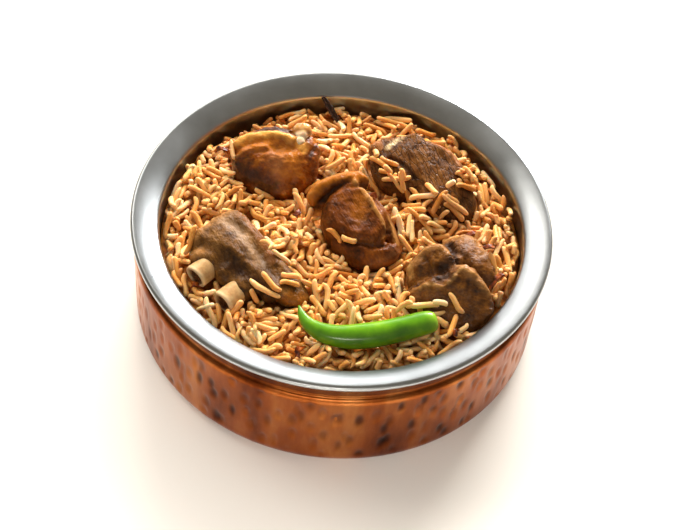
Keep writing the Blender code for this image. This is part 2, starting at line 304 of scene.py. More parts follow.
def spunSteel():
    # stainless steel, spun and satin brushed: fine rings round the pan, soft wide reflections
    material, shader = newMaterial("satinSpunStainlessSteel")
    place = addNode(material, "TexCoord")
    split = addNode(material, "SeparateXYZ", {0: place}).node.outputs
    flat = addNode(material, "CombineXYZ", {0: split[0], 1: split[1]})
    reach = addNode(material, "VectorMath", {0: flat}, output="Value", operation="LENGTH")
    # polishing rings are about 0.1 mm apart; drawn at 0.5 mm so that they show
    rings = addNode(material, "CombineXYZ", {0: reach, 2: split[2]})
    fine = addNode(material, "TexNoise", {"Vector": rings, "Scale": 2000.0, "Detail": 2.0})
    smears = addNode(material, "TexNoise", {"Vector": place, "Scale": 38.0, "Detail": 4.0, "Roughness": 0.6})
    rough = addNode(material, "MapRange", {0: smears, 1: 0.3, 2: 0.75, 3: 0.27, 4: 0.36})
    tone = addNode(material, "ValToRGB", {0: smears}, stops=[(0.3, "#9EA2A4"), (0.75, "#B6BABC")])
    bump = addNode(material, "Bump", {"Strength": 0.10, "Distance": 0.0002, "Height": fine})
    setInputs(material, shader, {"Metallic": 1.0, "Base Color": tone, "Roughness": rough, "Normal": bump})
    return material


def hammeredCopper():
    # copper sheet, hand hammered and lightly tarnished: warm brown-orange, with painted shade in the dents
    # and in the crease under the rim
    material, shader = newMaterial("hammeredCopper")
    place = addNode(material, "TexCoord")
    dent = addNode(material, "Attribute", attribute_name="dent")
    tall = addNode(material, "Mapping", {"Vector": place, "Scale": (1.0, 1.0, 0.3)})
    tarnish = addNode(material, "TexNoise", {"Vector": tall, "Scale": 45.0, "Detail": 5.0, "Roughness": 0.6})
    tone = addNode(
        material, "ValToRGB", {0: tarnish}, stops=[(0.34, "#6A2F10"), (0.5, "#9A5122"), (0.68, "#BC763E")])
    darker = addNode(
        material, "Mix", {0: dent, 6: tone, 7: linearColour("#563C2E")}, data_type="RGBA",
        blend_type="MULTIPLY")
    fine = addNode(material, "TexNoise", {"Vector": place, "Scale": 900.0, "Detail": 3.0})
    rough = addNode(material, "MapRange", {0: tarnish, 1: 0.3, 2: 0.7, 3: 0.40, 4: 0.27})
    bump = addNode(material, "Bump", {"Strength": 0.12, "Distance": 0.0003, "Height": fine})
    setInputs(material, shader, {"Metallic": 1.0, "Base Color": darker, "Roughness": rough, "Normal": bump})
    return material


linerMesh = meshFrom(spinProfile(linerProfile(), pan["segments"]), "steelLiner")
addPiece("steelLiner", linerMesh, spunSteel(), ["steel_liner"])
jacketMesh = meshFrom(spinProfile(jacketProfile(), pan["jacketSegments"]), "copperJacket")
hammerJacket(jacketMesh)
addPiece("copperJacket", jacketMesh, hammeredCopper(), ["copper_jacket"])
print("pan made:", len(jacketMesh.vertices), "points in the jacket")


# mutton: each CAD lump remeshed finely, then worked with strokes and noise
# a stroke is (mask or push, line in mm, reach in mm, amount)

# char strokes are painted shade: grooves, pockets, undersides and faces turned away from the light
mutton = {
    # fat and crust strokes that run along a ridge are partly a painted highlight where the light catches it
    "mutton_back_left": {
        "fibre": ((0.6, 0.3, -0.7), 9.0), "lumps": (9.0, 0.9), "grain": (2.4, 0.16), "seed": 2,
        "strokes": [
            ("push", [(-50, 32, 60), (-47, 35, 62), (-40, 36, 63), (-33, 37, 63), (-26, 37, 62)], 2.6, 1.3),
            ("push", [(-44, 31, 61), (-34, 31, 62), (-27, 31, 61)], 3.2, -1.3),
            ("push", [(-49, 26, 57), (-47, 27, 59), (-42, 29, 61), (-38, 30, 61)], 2.0, 1.3),
            ("push", [(-47, 25, 58), (-42, 27, 60), (-37, 28, 61)], 1.2, -0.9),
            ("push", [(-40, 40, 61), (-31, 41, 61), (-25, 42, 60)], 2.2, -1.2),
            ("push", [(-16, 38, 59), (-17, 34, 59), (-19, 29, 57)], 1.2, -0.8),
            ("push", [(-14, 36, 57), (-14, 32, 56)], 2.2, 1.0),
            ("fat", [(-50, 33, 60), (-47, 35, 62), (-40, 36, 63), (-33, 37, 63), (-27, 36, 62)], 2.4, 1.0),
            ("fat", [(-23, 36, 61), (-21, 33, 60)], 2.6, 0.9),
            ("amber", [(-46, 31, 61), (-36, 32, 62), (-29, 31, 61)], 5.0, 1.0),
            ("pink", [(-32, 25, 60), (-30, 21, 57)], 5.5, 1.0),
            ("char", [(-48, 24, 54), (-42, 20, 53), (-34, 17, 50)], 6.0, 0.9),
            ("char", [(-40, 43, 60), (-30, 44, 60)], 4.0, 0.9),
            ("char", [(-16, 37, 58), (-18, 30, 57)], 1.0, 0.8),
            ("amber", [(-26, 33, 61), (-24, 27, 59), (-26, 21, 56)], 5.0, 0.9),
        ],
        "tones": {"dark": "#3A1602", "body": "#8E4602", "light": "#C87A12"}, "fat": "#E2A048", "gloss": 0.28,
        "coat": 0.6, "seams": 0.06, "rumple": 0.35,
    },
    "mutton_centre": {
        "fibre": ((0.55, -0.75, -0.3), 7.0), "lumps": (8.0, 0.35), "grain": (1.8, 0.16), "seed": 5,
        "flats": [
            ((7, 2.5, 60.2), (0.0, -0.21, 0.977), 0.85), ((19, -2, 56.5), (0.72, 0.1, 0.68), 0.8),
            ((0, -8, 56.5), (-0.45, -0.75, 0.5), 0.6),
        ],
        "strokes": [
            ("push", [(-12, 4, 55), (-9, 7, 58), (-5, 11, 61), (1, 15, 62)], 1.1, -1.5),
            ("push", [(-15, 8, 57), (-12, 12, 60), (-5, 17, 62), (3, 20, 61)], 2.9, 1.1),
            ("push", [(3, 15, 62), (8, 10, 61), (13, 2, 60), (17, -4, 58), (17, -10, 55)], 1.1, 1.3),
            ("push", [(7, 15, 61), (12, 9, 60), (17, 1, 58), (20, -5, 56)], 1.8, -1.3),
            ("push", [(4, 4, 61), (6, -3, 60)], 2.6, -0.7),
            ("push", [(2, -12, 54), (9, -13, 54), (14, -14, 54), (19, -12, 54), (20, -5, 54)], 1.0, -1.6),
            ("push", [(6, 8, 62), (8, 0, 61), (6, -6, 59)], 3.0, -0.8),
            ("push", [(-6, -5, 57), (-1, -8, 57)], 2.2, 0.8),
            ("char", [(-11, 5, 56), (-7, 9, 59), (-2, 13, 61)], 1.3, 1.0),
            ("char", [(2, -13, 53), (9, -14, 53), (15, -15, 53), (20, -11, 53)], 1.2, 1.0),
            ("char", [(0, -20, 47), (10, -23, 47), (20, -22, 47)], 4.0, 0.5),
            ("fat", [(3, 15, 62), (8, 10, 61), (13, 2, 60), (17, -4, 58), (17, -9, 55)], 1.2, 0.95),
            ("fat", [(20, 2, 57), (22, -3, 55), (24, -8, 53)], 2.0, 0.7),
            ("amber", [(-15, 8, 57), (-12, 12, 60), (-4, 18, 63), (6, 19, 62)], 4.0, 1.0),
            ("amber", [(7, 8, 62), (7, -2, 60)], 4.5, 0.55),
            ("pink", [(16, -20, 50), (24, -14, 51)], 4.0, 0.5),
        ],
        "tones": {"dark": "#2A1202", "body": "#643004", "light": "#8A4C10"}, "fat": "#BE8646", "gloss": 0.36,
        "coat": 0.25, "rumple": 0.4, "seams": 0.12,
    },
    "mutton_back_right": {
        "fibre": ((0.45, -0.85, -0.25), 12.0), "lumps": (10.0, 0.35), "grain": (1.6, 0.26), "seed": 8,
        "flats": [((30, 35, 59.3), (0.08, -0.22, 0.97), 0.85), ((48, 20, 54), (0.5, -0.5, 0.7), 0.5)],
        "strokes": [
            ("push", [(8, 43, 56), (14, 49, 59), (22, 52, 61), (29, 53, 61)], 2.6, 1.0),
            ("push", [(17, 36, 57), (23, 33, 58), (28, 28, 57), (32, 24, 56), (37, 18, 55)], 1.2, -1.1),
            ("push", [(22, 41, 60), (26, 34, 59), (30, 28, 57)], 0.8, -0.6),
            ("push", [(28, 41, 61), (32, 34, 60), (35, 27, 58)], 0.8, -0.5),
            ("push", [(34, 41, 61), (38, 32, 60), (41, 25, 58)], 0.8, -0.6),
            ("push", [(40, 40, 60), (44, 32, 59), (46, 25, 57)], 0.8, -0.5),
            ("push", [(46, 24, 56), (52, 21, 54)], 1.4, -1.0),
            ("push", [(24, 46, 61), (34, 43, 61), (44, 36, 59)], 3.0, -0.5),
            ("pink", [(8, 43, 56), (14, 49, 59), (22, 52, 61), (30, 53, 61)], 3.6, 1.0),
            ("pink", [(36, 49, 60), (46, 41, 58), (53, 32, 56)], 3.0, 1.0),
            ("char", [(14, 38, 57), (12, 32, 55), (18, 26, 54)], 3.0, 0.6),
            ("char", [(18, 36, 58), (24, 33, 58), (30, 26, 56)], 1.5, 0.9),
            ("fat", [(16, 42, 58), (20, 47, 60), (24, 51, 61)], 1.7, 1.0),
            ("pink", [(12, 44, 57), (10, 38, 55)], 3.5, 0.7),
        ],
        "tones": {"dark": "#341C0A", "body": "#6A4018", "light": "#885A2A"}, "fat": "#D6BC90", "gloss": 0.42,
        "coat": 0.25, "rumple": 0.5, "seams": 0.62, "bundle": 480.0,
    },
    "mutton_rib": {
        "fibre": ((0.55, -0.8, -0.2), 8.0), "lumps": (9.0, 0.4), "grain": (1.9, 0.2), "seed": 12,
        "bulges": [
            (-47.5, -26.5, 54.8, 4.2), (-42.5, -29.5, 53.5, 4.8), (-37, -34, 52, 5.2), (-31.5, -38, 51, 5.0),
            (-26, -41.5, 50, 4.5),
        ],
        "flaps": [
            (-49.4, -28.3, 51.6, 6.4), (-50.9, -30.4, 51.3, 6.2), (-36.9, -39.9, 49.4, 6.4),
            (-38.2, -41.5, 49.3, 6.1), (-44.6, -35.4, 50.8, 5.4), (-57.2, -29.8, 53.2, 4.0),
        ],
        "flats": [
            ((-43.5, -29.8, 58.6), (-0.31, -0.63, 0.71), 0.8),
            ((-43.5, -29.5, 59.3), (0.05, -0.10, 0.99), 0.7), ((-36, -14, 56), (0.62, 0.62, 0.5), 0.6),
        ],
        "strokes": [
            ("push", [(-55, -26, 58), (-50, -26, 60), (-43, -29, 59), (-35, -34, 56), (-28, -39, 54),
                      (-21, -44, 52)], 1.8, 0.8),
            ("push", [(-45, -15, 60), (-38, -21, 59), (-31, -29, 57), (-24, -36, 54)], 3.0, -1.3),
            ("push", [(-46, -5, 59), (-38, -11, 58), (-31, -19, 57), (-25, -29, 55)], 2.0, 0.6),
            ("push", [(-57, -10, 59), (-60, -18, 58), (-64, -28, 53)], 2.0, 0.7),
            ("push", [(-58, -26, 54), (-51, -30, 53)], 1.0, -0.9),
            ("char", [(-52, -30, 53), (-44, -32, 52), (-36, -37, 50), (-28, -42, 48)], 4.0, 0.75),
            ("char", [(-46, -34, 57), (-38, -37, 55), (-30, -42, 53), (-24, -46, 51)], 3.4, 0.85),
            ("crust", [(-62, -34, 55), (-58, -31, 57), (-55, -28, 58)], 2.6, 0.9),
            ("crust", [(-48, -4, 60), (-55, -11, 60), (-60, -19, 58), (-65, -29, 51)], 4.2, 1.0),
            ("fat", [(-49, -14, 61), (-43, -17, 60), (-37, -24, 59), (-31, -31, 57)], 3.6, 0.6),
            ("pink", [(-42, -8, 59), (-33, -18, 58), (-27, -28, 56)], 3.5, 0.6),
            ("amber", [(-18, -44, 51), (-12, -43, 49)], 4.0, 0.6),
        ],
        "tones": {"dark": "#2C1808", "body": "#644016", "light": "#8E6434"}, "fat": "#B49270", "gloss": 0.34,
        "coat": 0.3, "rumple": 0.75, "seams": 0.15,
    },
    "mutton_right": {
        "fibre": ((0.8, 0.2, -0.5), 7.0), "lumps": (7.0, 0.7), "grain": (1.9, 0.24), "seed": 16,
        "flats": [((46, -37.5, 57.0), (0.05, -0.72, 0.7), 0.8), ((56, -10, 57), (0.3, 0.35, 0.88), 0.5)],
        "strokes": [
            ("push", [(35, -21, 60), (37, -24, 60), (39, -28, 58)], 1.3, -1.5),
            ("push", [(42, -26, 60), (45, -30, 60)], 2.4, -1.8),
            ("push", [(34, -20, 60), (39, -16, 62), (45, -19, 62), (48, -24, 60)], 1.8, 0.8),
            ("push", [(45, -9, 56), (48, -18, 60), (50, -22, 59)], 1.8, -2.2),
            ("push", [(32, -37, 56), (38, -34, 58), (44, -35, 59), (47, -32, 60), (51, -27, 62),
                      (58, -29, 61), (64, -33, 56)], 1.8, 1.0),
            ("push", [(31, -34, 54), (37, -32, 56), (43, -32, 57), (48, -28, 58)], 1.4, -1.6),
            ("push", [(36, -39, 55), (46, -41, 55), (56, -38, 57)], 3.5, -0.8),
            ("push", [(54, -8, 57), (58, -16, 58)], 2.4, -0.8),
            ("char", [(44, -26, 60), (45, -30, 60)], 2.6, 1.0),
            ("char", [(45, -9, 56), (48, -18, 60), (50, -23, 59)], 2.2, 1.0),
            ("char", [(31, -34, 54), (37, -32, 56), (44, -32, 57), (48, -28, 58)], 1.5, 0.9),
            ("fat", [(30, -22, 54), (32, -26, 53)], 2.2, 0.9),
            ("crust", [(32, -22, 57), (34, -19, 60), (39, -16, 62), (45, -18, 62)], 2.6, 0.8),
            ("fat", [(32, -37, 56), (38, -34, 58), (44, -35, 59), (47, -32, 60), (51, -27, 62),
                     (58, -29, 61)], 1.1, 0.5),
            ("crust", [(50, -24, 62), (57, -29, 61), (63, -32, 56)], 3.2, 0.8),
            ("crust", [(50, -4, 55), (58, -4, 55), (64, -14, 56)], 4.0, 0.6),
        ],
        "tones": {"dark": "#2C1606", "body": "#6A3E10", "light": "#9A6428"}, "fat": "#C49658", "gloss": 0.36,
        "coat": 0.4, "rumple": 0.75, "seams": 0.12,
    },
}
maskNames = ("fat", "amber", "pink", "char", "crust")


def remeshed(bm, balls, rounds, name, onlyNear=None, voxel=0.65):
    # joins balls to a lump, remeshes the whole and smooths it, all over or only near the balls
    for x, y, z, radius in balls:
        place = Matrix.Translation(Vector((x, y, z)) * mm)
        bmesh.ops.create_icosphere(bm, subdivisions=3, radius=radius * mm, matrix=place)
    mesh = evaluated(meshFrom(bm, name), [("REMESH", {"mode": "VOXEL", "voxel_size": voxel * mm})])
    bm = bmesh.new()
    bm.from_mesh(mesh)
    chosen = bm.verts[:]
    if onlyNear is not None:
        near = lambda v: any((v.co / mm - Vector(ball[:3])).length < ball[3] + onlyNear for ball in balls)
        chosen = [v for v in bm.verts if near(v)]
    for _ in range(rounds):
        bmesh.ops.smooth_vert(bm, verts=chosen, factor=0.5, use_axis_x=True, use_axis_y=True, use_axis_z=True)
    return meshFrom(bm, name)


def sculptMutton(node, facts):
    mesh = remeshed(cadMesh(node), facts.get("bulges", ()), 2, node)
    points, normals = getPoints(mesh)
    for place, facing, strength in facts.get("flats", ()):
        # flattens what stands proud of a plane, which leaves a cut face with crisp edges
        facing = np.array(Vector(facing).normalized())
        beyond = np.maximum((points - np.array(place) * mm) @ facing, 0)
        points = points - facing * (beyond * strength)[:, None]
    if "flaps" in facts:
        setPoints(mesh, points)
        bm = bmesh.new()
        bm.from_mesh(mesh)
        mesh = remeshed(bm, facts["flaps"], 14, node, onlyNear=3.0)
        points, normals = getPoints(mesh)
    lumpSize, lumpHeight = facts["lumps"]
    grainSize, grainHeight = facts["grain"]
    direction, amount = facts["fibre"]
    push = lumpHeight * fractalNoise(points, lumpSize, facts["seed"], 2)
    push += 0.4 * lumpHeight * fractalNoise(points, lumpSize / 3, facts["seed"] + 1, 2)
    push += grainHeight * fractalNoise(points, grainSize, facts["seed"] + 2, 3, (direction, amount))
    wander = 1 + 0.35 * fractalNoise(points, 3.0, facts["seed"] + 3, 2)
    masks = {name: np.zeros(len(points)) for name in maskNames}
    for kind, line, reach, amount in facts["strokes"]:
        near = np.exp(-(distanceToLine(points, line) / (reach * mm) * wander) ** 2)
        if kind == "push":
            push += amount * near
        else:
            masks[kind] = np.maximum(masks[kind], amount * near)
    pushOut(mesh, points, normals, push)
    hollow = np.clip(-push / 1.4, 0, 1)
    # raised ridges get a painted highlight through the crust mask
    masks["crust"] = np.maximum(masks["crust"], 0.55 * fade(push, 0.35, 1.3))
    # pushed-in hollows get more painted shade
    masks["char"] = np.clip(masks["char"] + 0.35 * hollow, 0, 1)
    for name in maskNames:
        setAttribute(mesh, name, masks[name])
    return mesh


def braisedMutton(node, facts):
    # mutton braised in spiced stock: brown muscle with paler fat and gristle, wet with oil; painted shade in
    # hollows and on faces turned from the light, painted highlights along the ridges
    material, shader = newMaterial("braised_" + node)
    tones = facts["tones"]
    place = addNode(material, "TexCoord")
    blotch = addNode(
        material, "TexNoise", {"Vector": place, "Scale": 150.0, "Detail": 5.0, "Roughness": 0.65})
    colour = addNode(
        material, "ValToRGB", {0: blotch},
        stops=[(0.30, tones["dark"]), (0.50, tones["body"]), (0.74, tones["light"])])
    # muscle fibres are about 0.4 mm thick and run one way through the piece
    turn = Vector(facts["fibre"][0]).to_track_quat("X", "Z").inverted().to_euler()
    along = addNode(material, "Mapping", {"Vector": place, "Rotation": turn})
    stretched = addNode(material, "Mapping", {"Vector": along, "Scale": (0.16, 1.0, 1.0)})
    fibres = addNode(
        material, "TexNoise", {"Vector": stretched, "Scale": 1250.0, "Detail": 3.0, "Roughness": 0.6})
    strands = addNode(material, "MapRange", {0: fibres, 1: 0.35, 2: 0.6, 3: 0.62, 4: 1.12})
    colour = addNode(
        material, "Mix", {0: 0.75, 6: colour, 7: strands}, data_type="RGBA", blend_type="MULTIPLY")
    layers = (
        ("pink", "#A4683A", 0.75), ("amber", "#B86C18", 0.8), ("crust", "#AE7A42", 0.8),
        ("fat", facts["fat"], 0.9), ("char", "#250F04", 0.85),
    )
    patchy = addNode(material, "TexNoise", {"Vector": place, "Scale": 420.0, "Detail": 4.0, "Roughness": 0.6})
    for name, tone, most in layers:
        mask = addNode(material, "Attribute", attribute_name=name)
        uneven = addNode(material, "Math", {0: patchy, 1: 0.7, 2: -0.35}, operation="MULTIPLY_ADD")
        lifted = addNode(material, "Math", {0: mask, 1: uneven}, operation="ADD")
        cover = addNode(material, "MapRange", {0: lifted, 1: 0.22, 2: 0.85, 3: 0.0, 4: most})
        colour = addNode(material, "Mix", {0: cover, 6: colour, 7: linearColour(tone)}, data_type="RGBA")
    # bundles of fibres are about 1.5 mm across, with dark seams between them
    bundleSpace = addNode(material, "Mapping", {"Vector": along, "Scale": (0.28, 1.0, 1.0)})
    warp = addNode(material, "TexNoise", {"Vector": along, "Scale": 260.0, "Detail": 3.0}, output="Color")
    warped = addNode(
        material, "VectorMath", {0: warp, 1: (0.0009,) * 3, 2: bundleSpace}, operation="MULTIPLY_ADD")
    seams = addNode(
        material, "TexVoronoi", {"Vector": warped, "Scale": facts.get("bundle", 420.0)},
        feature="DISTANCE_TO_EDGE")
    seam = addNode(material, "MapRange", {0: seams, 1: 0.0, 2: 0.07, 3: 1 - facts["seams"], 4: 1.0})
    colour = addNode(material, "Mix", {0: 1.0, 6: colour, 7: seam}, data_type="RGBA", blend_type="MULTIPLY")
    seamBump = addNode(material, "Bump", {"Strength": facts["seams"], "Distance": 0.0009, "Height": seam})
    wet = addNode(
        material, "MapRange", {0: patchy, 1: 0.35, 2: 0.68, 3: facts["gloss"], 4: facts["gloss"] + 0.3})
    fineBump = addNode(
        material, "Bump", {"Strength": 0.6, "Distance": 0.0005, "Height": fibres, "Normal": seamBump})
    bump = addNode(material, "Bump", {
        "Strength": facts["rumple"], "Distance": 0.0009, "Height": patchy, "Normal": fineBump,
    })
    setInputs(material, shader, {
        "IOR": 1.4, "Specular IOR Level": 0.2, "Subsurface Weight": 0.08,
        "Subsurface Radius": (1.0, 0.5, 0.2), "Subsurface Scale": 0.0018, "Coat Weight": facts["coat"],
        "Coat Roughness": 0.2, "Base Color": colour, "Roughness": wet, "Normal": bump, "Coat Normal": bump,
    })
    return material


solidMeshes = []
for node, facts in mutton.items():
    mesh = sculptMutton(node, facts)
    name = "".join(word.capitalize() if i else word for i, word in enumerate(node.split("_")))
    addPiece(name, mesh, braisedMutton(node, facts), [node])
    solidMeshes.append(mesh)
    print("mutton piece made:", name, len(mesh.vertices), "points")


# bones of the rib piece and the cartilage knob

bones = {
    "rib_bone_1": {"cut": (-57.4, -39.0, 50.8), "hidden": (-43.5, -20.6, 52.7), "seed": 21},
    "rib_bone_2": {"cut": (-44.6, -49.6, 49.4), "hidden": (-36.0, -38.7, 50.0), "seed": 24},
}
boneShape = {"radius": 5.4, "wall": 1.4, "marrowDepth": 0.8, "oval": 0.92}
knobShape = {
    "centre": (-22.6, 43.2, 60.6), "size": (4.4, 3.9, 3.9),
    "neck": [(-22.8, 40.0, 60.6), (-23.0, 36.5, 60.2)], "neckSize": (2.9, 2.4),
}


def boneMesh(name, facts):
    start, end = Vector(facts["cut"]), Vector(facts["hidden"])
    half = (end - start).length / 2
    outer, wall = boneShape["radius"], boneShape["wall"]
    inner = outer - wall
    depth = boneShape["marrowDepth"] - half
    profile = [(0, half), (outer - 1.4, half), (outer - 0.5, half - 0.5), (outer - 0.25, half - 1.6)]
    profile += [(outer - 0.3, 0), (outer - 0.1, 3 - half), (outer, 0.9 - half), (outer - 0.12, 0.25 - half)]
    profile += [(outer - 0.45, -half), (inner + 0.3, -half), (inner, 0.3 - half)]
    profile += [(inner - 0.15, depth), (inner * 0.6, depth + 0.2), (0, depth)]
    bm = spinProfile(profile, 40)
    edges = [e for e in bm.edges if abs(e.verts[0].co.z - e.verts[1].co.z) > 2 * mm]
    bmesh.ops.subdivide_edges(bm, edges=edges, cuts=5, use_grid_fill=True)
    squeeze = Matrix.Diagonal((1.0, boneShape["oval"], 1.0, 1.0))
    bmesh.ops.transform(bm, matrix=standBetween(start, end) @ squeeze, verts=bm.verts[:])
    bmesh.ops.recalc_face_normals(bm, faces=bm.faces[:])
    mesh = meshFrom(bm, name)
    points, normals = getPoints(mesh)
    axis = np.array((end - start).normalized())
    middle = np.array((start + end) / 2) * mm
    out = points - middle
    away = np.linalg.norm(out - (out @ axis)[:, None] * axis, axis=1) / mm
    height = (out @ axis) / mm
    marrow = (1 - fade(away, inner - 0.5, inner + 0.1)) * (height < 3 - half)
    rough = marrow * 0.5 * fractalNoise(points, 1.1, facts["seed"], 3)
    rough = rough + 0.12 * fractalNoise(points, 5, facts["seed"] + 1, 2)
    pushOut(mesh, points, normals, rough)
    setAttribute(mesh, "marrow", marrow)
    setAttribute(mesh, "cutEnd", (1 - fade(height, 0.4 - half, 2.2 - half)) * (1 - marrow))
    return mesh


def cookedBone():
    # rib bone boiled and stained by the stock: smooth tan outside, pale cut rim, dark porous marrow
    material, shader = newMaterial("cookedRibBone")
    place = addNode(material, "TexCoord")
    tonePatches = addNode(material, "TexNoise", {"Vector": place, "Scale": 160.0, "Detail": 4.0, "Roughness": 0.6})
    tone = addNode(
        material, "ValToRGB", {0: tonePatches}, stops=[(0.3, "#9C7348"), (0.5, "#BF9968"), (0.75, "#D6B888")])
    pores = addNode(material, "TexNoise", {"Vector": place, "Scale": 1100.0, "Detail": 3.0})
    inside = addNode(
        material, "ValToRGB", {0: pores}, stops=[(0.35, "#1F0D05"), (0.55, "#4A2A14"), (0.72, "#8A6236")])
    cutEnd = addNode(material, "Attribute", attribute_name="cutEnd")
    marrow = addNode(material, "Attribute", attribute_name="marrow")
    rim = addNode(material, "Mix", {0: cutEnd, 6: tone, 7: linearColour("#D9BD92")}, data_type="RGBA")
    colour = addNode(material, "Mix", {0: marrow, 6: rim, 7: inside}, data_type="RGBA")
    bump = addNode(material, "Bump", {"Strength": 0.25, "Distance": 0.0004, "Height": pores})
    setInputs(material, shader, {
        "Roughness": 0.42, "IOR": 1.5, "Subsurface Weight": 0.15, "Subsurface Scale": 0.0015,
        "Base Color": colour, "Normal": bump,
    })
    return material


def knobMesh():
    bm = bmesh.new()
    places = [(knobShape["centre"], knobShape["size"])]
    for centre, size in zip(knobShape["neck"], knobShape["neckSize"]):
        places.append((centre, (size, size, size)))
    for centre, size in places:
        grow = Matrix.Translation(Vector(centre) * mm) @ Matrix.Diagonal([s * mm for s in size]).to_4x4()
        bmesh.ops.create_icosphere(bm, subdivisions=3, radius=1, matrix=grow)
    mesh = remeshed(bm, (), 4, "cartilageKnob", voxel=0.4)
    points, normals = getPoints(mesh)
    push = 0.35 * fractalNoise(points, 4, 31, 2) + 0.1 * fractalNoise(points, 1.2, 32, 2)
    pushOut(mesh, points, normals, push)
    setAttribute(mesh, "gristle", 1 - fade(points[:, 1] / mm, 38.5, 41.5))
    return mesh


def cookedCartilage():
    # joint cartilage cooked soft: tan and glassy, with white gristle at its root
    material, shader = newMaterial("cookedCartilage")
    place = addNode(material, "TexCoord")
    cloud = addNode(material, "TexNoise", {"Vector": place, "Scale": 260.0, "Detail": 4.0})
    tone = addNode(
        material, "ValToRGB", {0: cloud}, stops=[(0.3, "#A86C30"), (0.55, "#CC9450"), (0.75, "#DEB074")])
    root = addNode(material, "Attribute", attribute_name="gristle")
    colour = addNode(material, "Mix", {0: root, 6: tone, 7: linearColour("#EAD3AE")}, data_type="RGBA")
    bump = addNode(material, "Bump", {"Strength": 0.3, "Distance": 0.0004, "Height": cloud})
    setInputs(material, shader, {
        "Roughness": 0.24, "Subsurface Weight": 0.35, "Subsurface Scale": 0.002, "Coat Weight": 0.5,
        "Coat Roughness": 0.12, "Base Color": colour, "Normal": bump,
    })
    return material


boneMaterial = cookedBone()
for node, facts in bones.items():
    mesh = boneMesh(node, facts)
    addPiece("ribBone" + node[-1], mesh, boneMaterial, [node])
    solidMeshes.append(mesh)
mesh = knobMesh()
addPiece("cartilageKnob", mesh, cookedCartilage(), ["bone_knob"])
solidMeshes.append(mesh)
print("bones and knob made")


# green chilli

chilli = {
    "axis": [
        (-13.3, -50.2, 54.7, 0.5), (-11.8, -54.2, 53.6, 1.9), (-8.2, -58.1, 52.8, 3.0),
        (-2.8, -60.9, 52.3, 3.9), (5.4, -61.6, 52.1, 4.8), (13.9, -59.9, 52.1, 5.2), (22.3, -57.2, 52.2, 5.2),
        (30.4, -53.7, 52.5, 5.1), (37.2, -50.6, 52.8, 4.9), (39.6, -49.6, 52.9, 4.7),
        (41.4, -48.8, 53.0, 4.2), (42.6, -48.3, 53.1, 3.0), (42.9, -48.15, 53.1, 0.6),
    ],
    "sides": 6, "wave": 0.22, "seed": 41, "stalk": (41.6, -48.6, 53.1),
}


def chilliMesh():
    curve = bpy.data.curves.new("chilliAxis", "CURVE")
    curve.dimensions = "3D"
    curve.bevel_depth = mm
    curve.bevel_resolution = chilli["sides"]
    curve.use_fill_caps = True
    spline = curve.splines.new("NURBS")
    spline.points.add(len(chilli["axis"]) - 1)
    for point, (x, y, z, r) in zip(spline.points, chilli["axis"]):
        point.co = (x * mm, y * mm, z * mm, 1)
        point.radius = r
    spline.order_u = 3
    spline.use_endpoint_u = True
    spline.resolution_u = 8
    bm = bmesh.new()
    bm.from_mesh(evaluated(curve))
    bmesh.ops.remove_doubles(bm, verts=bm.verts[:], dist=0.05 * mm)
    bmesh.ops.recalc_face_normals(bm, faces=bm.faces[:])
    mesh = meshFrom(bm, "greenChilli")
    points, normals = getPoints(mesh)
    push = chilli["wave"] * fractalNoise(points, 7, chilli["seed"], 2, ((0.9, 0.35, 0), 2.0))
    pushOut(mesh, points, normals, push)
    fromStalk = np.linalg.norm(points / mm - np.array(chilli["stalk"]), axis=1)
    setAttribute(mesh, "stalkEnd", 1 - fade(fromStalk, 2.5, 7.0))
    return mesh


def freshChilli():
    # fresh green chilli: waxy skin, bright green with a yellower stalk end
    material, shader = newMaterial("freshGreenChilliSkin")
    place = addNode(material, "TexCoord")
    cloud = addNode(material, "TexNoise", {"Vector": place, "Scale": 90.0, "Detail": 4.0, "Roughness": 0.55})
    tone = addNode(
        material, "ValToRGB", {0: cloud}, stops=[(0.3, "#3C7204"), (0.52, "#589206"), (0.75, "#7EAE0C")])
    end = addNode(material, "Attribute", attribute_name="stalkEnd")
    colour = addNode(material, "Mix", {0: end, 6: tone, 7: linearColour("#8CBE2C")}, data_type="RGBA")
    skin = addNode(material, "TexNoise", {"Vector": place, "Scale": 1400.0, "Detail": 2.0})
    bump = addNode(material, "Bump", {"Strength": 0.12, "Distance": 0.0003, "Height": skin})
    setInputs(material, shader, {
        "Roughness": 0.3, "IOR": 1.45, "Subsurface Weight": 0.12, "Subsurface Radius": (0.5, 1.0, 0.2),
        "Subsurface Scale": 0.0012, "Coat Weight": 0.5, "Coat Roughness": 0.1, "Base Color": colour,
        "Normal": bump,
    })
    return material


chilliSurface = chilliMesh()
addPiece("greenChilli", chilliSurface, freshChilli(), ["green_chilli"])


# cinnamon shard against the back wall

shard = {
    "low": (-8.4, 65.6, 46.8), "top": (-16.6, 71.8, 55.4), "width": 2.9, "thickness": 0.8, "curl": 1.0,
    "seed": 51,
}


def shardMesh():
    start, end = Vector(shard["low"]), Vector(shard["top"])
    length = (end - start).length
    bm = bmesh.new()
    bmesh.ops.create_grid(bm, x_segments=12, y_segments=30, size=0.5)
    for v in bm.verts:
        across, along = v.co.x, v.co.y + 0.5
        width = shard["width"] * (0.55 + 0.75 * math.sin(math.pi * (0.15 + 0.8 * along)))
        jag = 0.5 * noise.noise(Vector((along * 7, 0, shard["seed"])))
        rumple = 0.3 * noise.noise(Vector((across * 4, along * 6, 2)))
        curled = (across * 2) ** 2 * shard["curl"] + rumple
        v.co = Vector((across * width + jag, curled, (along - 0.5) * length))
    bmesh.ops.scale(bm, vec=(mm, mm, mm), verts=bm.verts[:])
    bmesh.ops.solidify(bm, geom=bm.faces[:], thickness=shard["thickness"] * mm)
    bmesh.ops.transform(bm, matrix=standBetween(start, end), verts=bm.verts[:])
    bmesh.ops.recalc_face_normals(bm, faces=bm.faces[:])
    return meshFrom(bm, "cinnamonShard")


